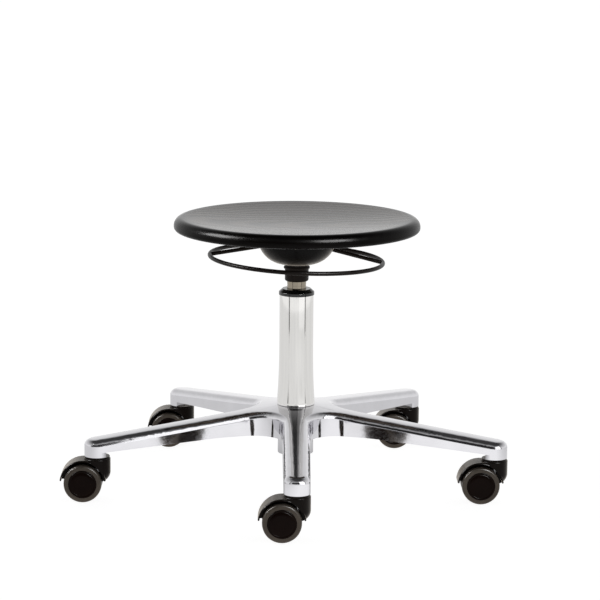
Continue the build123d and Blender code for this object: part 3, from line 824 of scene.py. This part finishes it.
class STOOL_OT_screws(bpy.types.Operator):
    """Model the cross-recessed screws that hold the seat"""

    bl_idname = "stool.screws"
    bl_label = "Seat Screws"

    def screw(self, size):
        """One screw on the lift axis, with a domed head below."""
        low = screws_low.z
        neck = plate_low.z
        tip = screws_high.z
        outline = []
        for outwards in shares(DOME_STEPS):
            angle = outwards * pi / 2
            outline.append((size.head_radius * sin(angle), low + size.head_dome * (1 - cos(angle))))
        outline += [(size.head_radius, neck), (size.shank_radius, neck), (size.shank_radius, tip), (0.0, tip)]
        screw = turned("seat_screw", outline, SCREW_STEPS)
        for turn in (0.0, pi / 2):
            deselect_all()
            bpy.ops.mesh.primitive_cube_add(size=1.0, location=(0, 0, low), rotation=(0, 0, turn))
            slot = bpy.context.active_object
            slot.scale = (size.recess_reach, size.recess_width, 2 * size.recess_depth)
            bpy.ops.object.transform_apply(location=True, rotation=True, scale=True)
            cut_away(screw, slot)
        return smooth(screw)

    def execute(self, context):
        size = context.scene.stool_screws
        screw = self.screw(size)
        circle = (screws_high.x - size.head_radius) * 2 ** 0.5
        copies = []
        for quarter in range(4):
            angle = pi / 4 + quarter * pi / 2
            copies.append(moved_copy(screw, "screw_copy", (circle * cos(angle), circle * sin(angle), 0)))
        delete(screw)
        make_active(copies[0])
        for copy in copies:
            copy.select_set(True)
        bpy.ops.object.join()
        piece = rename(bpy.context.active_object, "seat_screw_heads")
        fit(piece, "seat", finish(context, "plated_steel"), "seat_screws")
        return {"FINISHED"}


class STOOL_OT_release(bpy.types.Operator):
    """Refine the release ring, its spokes and the rocker"""

    bl_idname = "stool.release"
    bl_label = "Release Ring"

    def execute(self, context):
        paint = finish(context, "black_coat")
        refine("release_ring", "wire_ring", "ring", paint)
        refine("ring_spokes", "wire_spokes", "ring", paint)
        refine("lever_rocker", "release_rocker", "ring", paint)
        dress(finish(context, "plated_steel"), "release_button")
        return {"FINISHED"}


class STOOL_OT_column(bpy.types.Operator):
    """Turn the chromed column and the gas cylinder, and finish what is inside them"""

    bl_idname = "stool.column"
    bl_label = "Lift Column"

    def column(self, lift):
        """Chromed tube with a flared foot, plug and floor plate."""
        low = column_low.z
        top = column_high.z
        hub = base_high.z
        foot = column_high.x
        edge = lift.tube_edge
        crease = lift.foot_crease
        bore = lift.tube_radius - lift.tube_wall
        narrow = lift.plug_tip_radius - lift.plug_wall
        plate = low + lift.floor_plate
        flare = []
        for upwards in shares(CURVE_STEPS):
            flare.append((lift.tube_radius + (foot - lift.tube_radius) * (1 - upwards) ** 3,
                          hub + crease + (lift.foot_height - crease) * upwards))
        outline = [(lift.plug_tip_radius, low), (lift.plug_radius, hub)]
        outline += arc((foot - crease, hub + crease), crease, -90, 0, EDGE_STEPS)[:-1] + flare
        outline += arc((lift.tube_radius - edge, top - edge), edge, 0, 90, EDGE_STEPS)
        outline += [(bore, top), (bore, hub), (narrow, hub), (narrow, plate), (lift.rod_hole, plate),
                    (lift.rod_hole, low), (lift.plug_tip_radius, low)]
        return turned("chromed_column", outline)

    def cylinder(self, lift):
        """Pressure tube with its fine groove and conical head."""
        low = cylinder_low.z
        top = cylinder_high.z
        radius = cylinder_high.x
        neck = neck_low.z
        bevel = lift.cylinder_bevel
        groove = neck - lift.groove_drop
        groove_top = groove + lift.groove_width
        groove_floor = radius - lift.groove_depth
        bore = radius - lift.cylinder_wall
        head_bore = lift.cone_radius - lift.cylinder_wall
        outline = [(bore, low), (radius - bevel, low), (radius, low + bevel), (radius, groove),
                   (groove_floor, groove), (groove_floor, groove_top), (radius, groove_top), (radius, neck),
                   (lift.cone_radius, top), (head_bore, top), (bore, neck), (bore, low)]
        return turned("gas_tube", outline)

    def execute(self, context):
        lift = context.scene.stool_lift
        fit(self.column(lift), "base", finish(context, "chrome"), "column_tube")
        refine("column_cap", "lift_cap", "base", finish(context, "cap_plastic"))
        ground = finish(context, "ground_cylinder")
        fit(self.cylinder(lift), "seat", ground, "gas_cylinder")
        dress(finish(context, "plated_steel"), "lower_race", "upper_race", "piston_rod", "retaining_clip",
              "piston", "valve_body")
        dress(finish(context, "bearing_plastic"), "guide_bush", "rod_gland", "ball_cage")
        dress(finish(context, "buffer_rubber"), "buffer")
        return {"FINISHED"}


class STOOL_OT_base(bpy.types.Operator):
    """Crown and finish the polished five-arm base"""

    bl_idname = "stool.base"
    bl_label = "Star Base"

    def cut_tops(self, piece, base):
        """Cut each arm's top lengthwise, so that it can be curved."""
        bpy.ops.mesh.select_mode(type="FACE")
        for arm in range(len(caster_names)):
            turn = arm_sector * arm
            along = Vector((sin(turn), -cos(turn), 0))
            across = Vector((cos(turn), sin(turn), 0))
            for cut in range(-base.crown_cuts, base.crown_cuts + 1):
                bpy.ops.object.mode_set(mode="OBJECT")
                for face in piece.data.polygons:
                    face.select = (face.normal.z > cos(TOP_LEAN)
                                   and face.center.dot(along) > base.crown_start
                                   and abs(face.center.dot(across)) < base.flat + base.roll)
                bpy.ops.object.mode_set(mode="EDIT")
                bpy.ops.mesh.bisect(plane_co=across * base.flat * cut / base.crown_cuts, plane_no=across)

    def crown_tops(self, piece, base):
        """Let the arms' tops and rolled edges fall away slightly from their middles."""
        most = base.crown * (1 + 2 * base.roll / base.flat)
        group = piece.vertex_groups.new(name="crown")
        for vertex in piece.data.vertices:
            place = vertex.co
            turn = atan2(place.x, -place.y)
            turn -= arm_sector * round(turn / arm_sector)
            along = place.xy.length * cos(turn)
            across = min(abs(place.xy.length * sin(turn)), base.flat + base.roll)
            top = base_high.z - base.fall * max(0.0, along - column_high.x)
            on_top = vertex.normal.z > TOP_RISE and place.z > top - TOP_DEPTH * base.roll
            if on_top and along > base.crown_start:
                fall = base.crown * (min(across, base.flat) / base.flat) ** 2
                fall += 2 * base.crown / base.flat * max(0.0, across - base.flat)
                rise = min(1.0, (along - base.crown_start) / (base.crown_full - base.crown_start))
                group.add([vertex.index], rise * fall / most, "REPLACE")
        bpy.ops.object.modifier_add(type="DISPLACE")
        sink = piece.modifiers[-1]
        sink.direction = "Z"
        sink.mid_level = 0.0
        sink.strength = -most
        sink.vertex_group = group.name
        bpy.ops.object.modifier_apply(modifier=sink.name)
        piece.vertex_groups.clear()

    def crowned(self, piece):
        """Give the arms' tops a slight crown."""
        base = bpy.context.scene.stool_base
        bpy.ops.object.mode_set(mode="EDIT")
        self.cut_tops(piece, base)
        bpy.ops.mesh.select_mode(type="VERT")
        bpy.ops.object.mode_set(mode="OBJECT")
        self.crown_tops(piece, base)

    def execute(self, context):
        polished = finish(context, "polished_aluminium")
        refine("star_base", "polished_base", "base", polished, self.crowned)
        return {"FINISHED"}


class STOOL_OT_casters(bpy.types.Operator):
    """Model the twin-wheel casters under the arms"""

    bl_idname = "stool.casters"
    bl_label = "Casters"

    def tyre(self, caster, low, high, rim, radius, axle):
        """Soft tyre with round shoulders and a slightly crowned tread."""
        middle = (low + high) / 2
        half = (high - low) / 2
        shoulder = caster.shoulder
        edge = radius - caster.crown
        tread = []
        for step in range(1, TREAD_STEPS):
            across = -1 + 2 * step / TREAD_STEPS
            tread.append((edge + caster.crown * (1 - across ** 2), middle + across * (half - shoulder)))
        outline = [(rim, low)]
        outline += arc((edge - shoulder, low + shoulder), shoulder, -90, 0, ROUND_STEPS) + tread
        outline += arc((edge - shoulder, high - shoulder), shoulder, 0, 90, ROUND_STEPS)
        outline += [(rim, high), (rim, low)]
        return turned_on_axle("tyre_master", outline, axle)

    def disc(self, caster, inner, outer, rim, axle):
        """Wheel core: a domed face with a fine step round it, a rim and a boss."""
        edge = caster.disc_edge
        step = caster.disc_step
        face = outer - caster.face_wall
        back = face - caster.face_wall
        rim_in = rim - caster.rim_wall
        lip = inner + caster.rim_lip
        boss = caster.boss_radius
        bore = caster.axle_bore
        outline = [(rim * reach, outer - step * depth) for reach, depth in DISC_FACE]
        outline += arc((rim - edge, outer - step - edge), edge, 90, 0, DISC_EDGE_STEPS)
        outline += [(rim, lip), (rim_in, lip), (rim_in, back), (boss, back), (boss, inner), (bore, inner),
                    (bore, face), (0.0, face)]
        return turned_on_axle("disc_master", outline, axle)

    def masters(self, caster, first, side):
        """The first caster's wheel and tyre on one side, modelled on the left and mirrored for the right."""
        way = wheel_sides[side]
        centre = joint_places[f"{first}_{side}_wheel_spin"]
        wheel_low, wheel_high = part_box(f"caster_{first}_wheel_{side}")
        tyre_low, tyre_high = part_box(f"caster_{first}_tyre_{side}")
        rim = (wheel_high.z - wheel_low.z) / 2
        radius = (tyre_high.z - tyre_low.z) / 2
        inner, outer = sorted((way * wheel_low.y, way * wheel_high.y))
        near, far = sorted((way * tyre_low.y, way * tyre_high.y))
        axle = Vector((centre.x, way * centre.y, centre.z))
        made = {"wheel": self.disc(caster, inner, outer, rim, axle),
                "tyre": self.tyre(caster, near, far, rim, radius, axle)}
        if way < 0:
            for master in made.values():
                mirror_along_y(master)
        return made

    def wheels(self, context, side):
        """Copies of one side's wheel and tyre at every caster."""
        first = caster_names[0]
        looks = {"wheel": ("caster_plastic", finish(context, "disc_plastic")),
                 "tyre": ("grey_tyre", finish(context, "grey_tyre"))}
        for kind, master in self.masters(context.scene.stool_caster, first, side).items():
            slot, material = looks[kind]
            for name in caster_names:
                step = joint_places[f"{name}_{side}_wheel_spin"] - joint_places[f"{first}_{side}_wheel_spin"]
                copy = moved_copy(master, f"{name}_{side}_{kind}", step)
                fit(copy, f"{name}_{side}_wheel", material, f"caster_{name}_{kind}_{side}")
            delete(master)

    def execute(self, context):
        for side in wheel_sides:
            self.wheels(context, side)
        hood = finish(context, "hood_plastic")
        steel = finish(context, "plated_steel")
        for name in caster_names:
            body = f"caster_{name}"
            refine(f"{body}_housing", f"{name}_caster_hood", body, hood)
            dress(steel, f"{body}_stem", f"{body}_axle")
        return {"FINISHED"}


class STOOL_OT_stage(bpy.types.Operator):
    """Lay the pale floor, light the studio and set the camera"""

    bl_idname = "stool.stage"
    bl_label = "Studio"

    def floor_finish(self, stage):
        """Pale matt finish with a faint glow of its own; reflections see that glow with painted light and
        shade: brighter in front of the stool, dimmer round it and darker under it.
        """
        material, shader = new_finish("pale_floor", stage.floor_tone, roughness=0.9, gloss=0.0)
        cloud = noise(material, scale=1.2, detail=2.0)
        tint(material, shader, cloud, scaled(stage.floor_tone, factor=0.985), stage.floor_tone)
        from_spot = reach_of(material, object_places(material, shift=-stage.painted_light_spot))
        from_axis = reach_of(material, object_places(material))
        # Painted light and shade seen only in reflections: a brighter patch in front of the stool, dimmer
        # round it, and full again far away
        near = spread(material, from_spot, stage.painted_near_light, stage.painted_round_shade, stage.near_start,
                      stage.near_end)
        far = spread(material, from_axis, 0.0, stage.floor_far, stage.far_start, stage.far_end)
        # Painted shade under the stool, which only reflections show
        under = spread(material, from_axis, stage.painted_under_shade, 1.0, stage.under_start, stage.under_end)
        painted_reflection_glow = worked_out(material, "MULTIPLY", worked_out(material, "MAXIMUM", near, far), under)
        in_reflection = node(material, "ShaderNodeLightPath").outputs["Is Glossy Ray"]
        shown = mixed(material, in_reflection, 1.0, painted_reflection_glow)
        glow = worked_out(material, "MULTIPLY", shown, stage.floor_glow)
        shader.inputs["Emission Color"].default_value = (1.0, 1.0, 1.0, 1.0)
        link(material, glow, shader.inputs["Emission Strength"])
        return material

    def floor(self, stage):
        """Wide round floor."""
        deselect_all()
        bpy.ops.mesh.primitive_circle_add(vertices=stage.floor_steps, radius=stage.floor_radius,
                                          fill_type="NGON")
        floor = rename(bpy.context.active_object, "pale_floor")
        floor.data.materials.append(self.floor_finish(stage))

    def studio(self, stage):
        """White studio, dark behind the camera and above, and plain white where the camera sees it."""
        world = bpy.data.worlds.new("white_studio")
        bpy.context.scene.world = world
        world.use_nodes = True
        sky = world.node_tree.nodes["Background"]
        direction = node(world, "ShaderNodeSeparateXYZ")
        link(world, node(world, "ShaderNodeTexCoord").outputs["Generated"], direction.inputs["Vector"])
        behind = spread(world, direction.outputs["Y"], 0.0, 1.0, -stage.dark_start, -stage.dark_full,
                        "SMOOTHSTEP")
        below = spread(world, direction.outputs["Z"], 0.0, 1.0, stage.dark_top, stage.dark_below,
                       "SMOOTHSTEP")
        height = node(world, "ShaderNodeValToRGB")
        stops = height.color_ramp.elements
        stops[-1].position = stage.ceiling_rise
        stops.new(stage.wall_rise)
        stops.new(stage.upper_rise)
        for stop, level in zip(stops, (stage.horizon, stage.wall, stage.upper, stage.ceiling)):
            stop.color = (level, level, level, 1.0)
        link(world, direction.outputs["Z"], height.inputs["Fac"])
        dark_side = worked_out(world, "MULTIPLY", behind, below)
        strength = mixed(world, dark_side, height.outputs["Color"], stage.dark)
        in_camera = node(world, "ShaderNodeLightPath").outputs["Is Camera Ray"]
        link(world, mixed(world, in_camera, strength, 1.0), sky.inputs["Strength"])
        sky.inputs["Color"].default_value = (1.0, 1.0, 1.0, 1.0)

    def light(self, name, place, aim, wide, tall, power, state, pieces):
        """Soft area light that the camera doesn't see, for some pieces alone or for all but those."""
        deselect_all()
        bpy.ops.object.light_add(type="AREA", location=place)
        lamp = bpy.context.active_object
        lamp.name = name
        lamp.rotation_euler = (aim - place).to_track_quat("-Z", "Y").to_euler()
        lamp.data.shape = "RECTANGLE"
        lamp.data.size = wide
        lamp.data.size_y = tall
        lamp.data.energy = power
        lamp.visible_camera = False
        lamp.visible_diffuse = False
        linked = bpy.data.collections.new(name + "_pieces")
        for piece in pieces:
            linked.objects.link(bpy.data.objects[piece])
        for entry in linked.collection_objects:
            entry.light_linking.link_state = state
        lamp.light_linking.receiver_collection = linked

    def lights(self, stage):
        """Two soft lights on all but the bright metal, and a white card for that metal alone."""
        base = ("polished_base",)
        lift = ("chromed_column", "gas_tube")
        self.light("key_light", stage.key_place, stage.light_aim, stage.key_width, stage.key_height,
                   stage.key_power, "EXCLUDE", base + lift)
        self.light("fill_light", stage.fill_place, stage.light_aim, stage.fill_width, stage.fill_height,
                   stage.fill_power, "EXCLUDE", base + lift)
        self.light("base_card", stage.card_place, stage.card_aim, stage.card_width, stage.card_height,
                   stage.card_power, "INCLUDE", base)
        self.light("column_card", stage.card_place, stage.card_aim, stage.card_width, stage.card_height,
                   stage.card_power * stage.card_column, "INCLUDE", lift)

    def stands(self, stage):
        """Thin dark light stands that only reflections show."""
        material = new_finish("dark_stand", stage.stand_tone, roughness=0.5)[0]
        for name, place in (("right_stand", stage.stand_right), ("left_stand", stage.stand_left)):
            deselect_all()
            bpy.ops.mesh.primitive_cylinder_add(vertices=POLE_STEPS, radius=stage.stand_radius,
                                                depth=stage.stand_height, location=place)
            pole = rename(bpy.context.active_object, name)
            pole.data.materials.append(material)
            pole.visible_camera = False
            pole.visible_diffuse = False
            pole.visible_shadow = False

    def camera(self, stage):
        """Long lens a little above the seat."""
        rise = stage.camera_elevation
        turn = stage.camera_azimuth
        away = stage.camera_distance * cos(rise)
        height = stage.target_height + stage.camera_distance * sin(rise)
        place = Vector((-away * sin(turn), -away * cos(turn), height))
        heading = turn + stage.camera_yaw
        forward = Vector((sin(heading) * cos(rise), cos(heading) * cos(rise), -sin(rise)))
        level = forward.cross(Vector((0, 0, 1))).normalized()
        upright = level.cross(forward)
        lean = stage.camera_roll
        right = level * cos(lean) + upright * sin(lean)
        up = upright * cos(lean) - level * sin(lean)
        deselect_all()
        bpy.ops.object.camera_add(location=place)
        camera = bpy.context.active_object
        camera.name = "studio_camera"
        camera.matrix_world = Matrix.Translation(place) @ Matrix((right, up, -forward)).transposed().to_4x4()
        camera.data.lens = stage.lens
        camera.data.clip_end = 2 * stage.floor_radius
        bpy.context.scene.camera = camera

    def execute(self, context):
        stage = context.scene.stool_stage
        self.floor(stage)
        self.studio(stage)
        self.lights(stage)
        self.stands(stage)
        self.camera(stage)
        context.scene.view_settings.view_transform = "Standard"
        return {"FINISHED"}


class STOOL_PT_panel(bpy.types.Panel):
    """Lists the stool's pieces and their settings"""

    bl_idname = "STOOL_PT_panel"
    bl_label = "Swivel Stool"
    bl_space_type = "VIEW_3D"
    bl_region_type = "UI"
    bl_category = "Stool"

    def draw(self, context):
        column = self.layout.column()
        for operator in operators:
            column.operator(operator.bl_idname)
        for name, group in settings.items():
            column.label(text=group.__doc__)
            values = getattr(context.scene, name)
            for value in group.__annotations__:
                column.prop(values, value)


settings = {
    "stool_seat": StoolSeatSettings,
    "stool_screws": StoolScrewSettings,
    "stool_metal": StoolMetalSettings,
    "stool_plastic": StoolPlasticSettings,
    "stool_lift": StoolLiftSettings,
    "stool_base": StoolBaseSettings,
    "stool_caster": StoolCasterSettings,
    "stool_stage": StoolStageSettings,
}
operators = (
    STOOL_OT_seat,
    STOOL_OT_support,
    STOOL_OT_screws,
    STOOL_OT_release,
    STOOL_OT_column,
    STOOL_OT_base,
    STOOL_OT_casters,
    STOOL_OT_stage,
)


def register():
    """Register the settings, operators and panel."""
    for name, group in settings.items():
        bpy.utils.register_class(group)
        setattr(bpy.types.Scene, name, PointerProperty(type=group))
    for operator in operators:
        bpy.utils.register_class(operator)
    bpy.utils.register_class(STOOL_PT_panel)


def unregister():
    """Remove the panel, operators and settings."""
    bpy.utils.unregister_class(STOOL_PT_panel)
    for operator in reversed(operators):
        bpy.utils.unregister_class(operator)
    for name, group in reversed(settings.items()):
        delattr(bpy.types.Scene, name)
        bpy.utils.unregister_class(group)


def main():
    register()
    bpy.ops.stool.seat()
    bpy.ops.stool.support()
    bpy.ops.stool.screws()
    bpy.ops.stool.release()
    bpy.ops.stool.column()
    bpy.ops.stool.base()
    bpy.ops.stool.casters()
    bpy.ops.stool.stage()


if __name__ == "__main__":
    main()
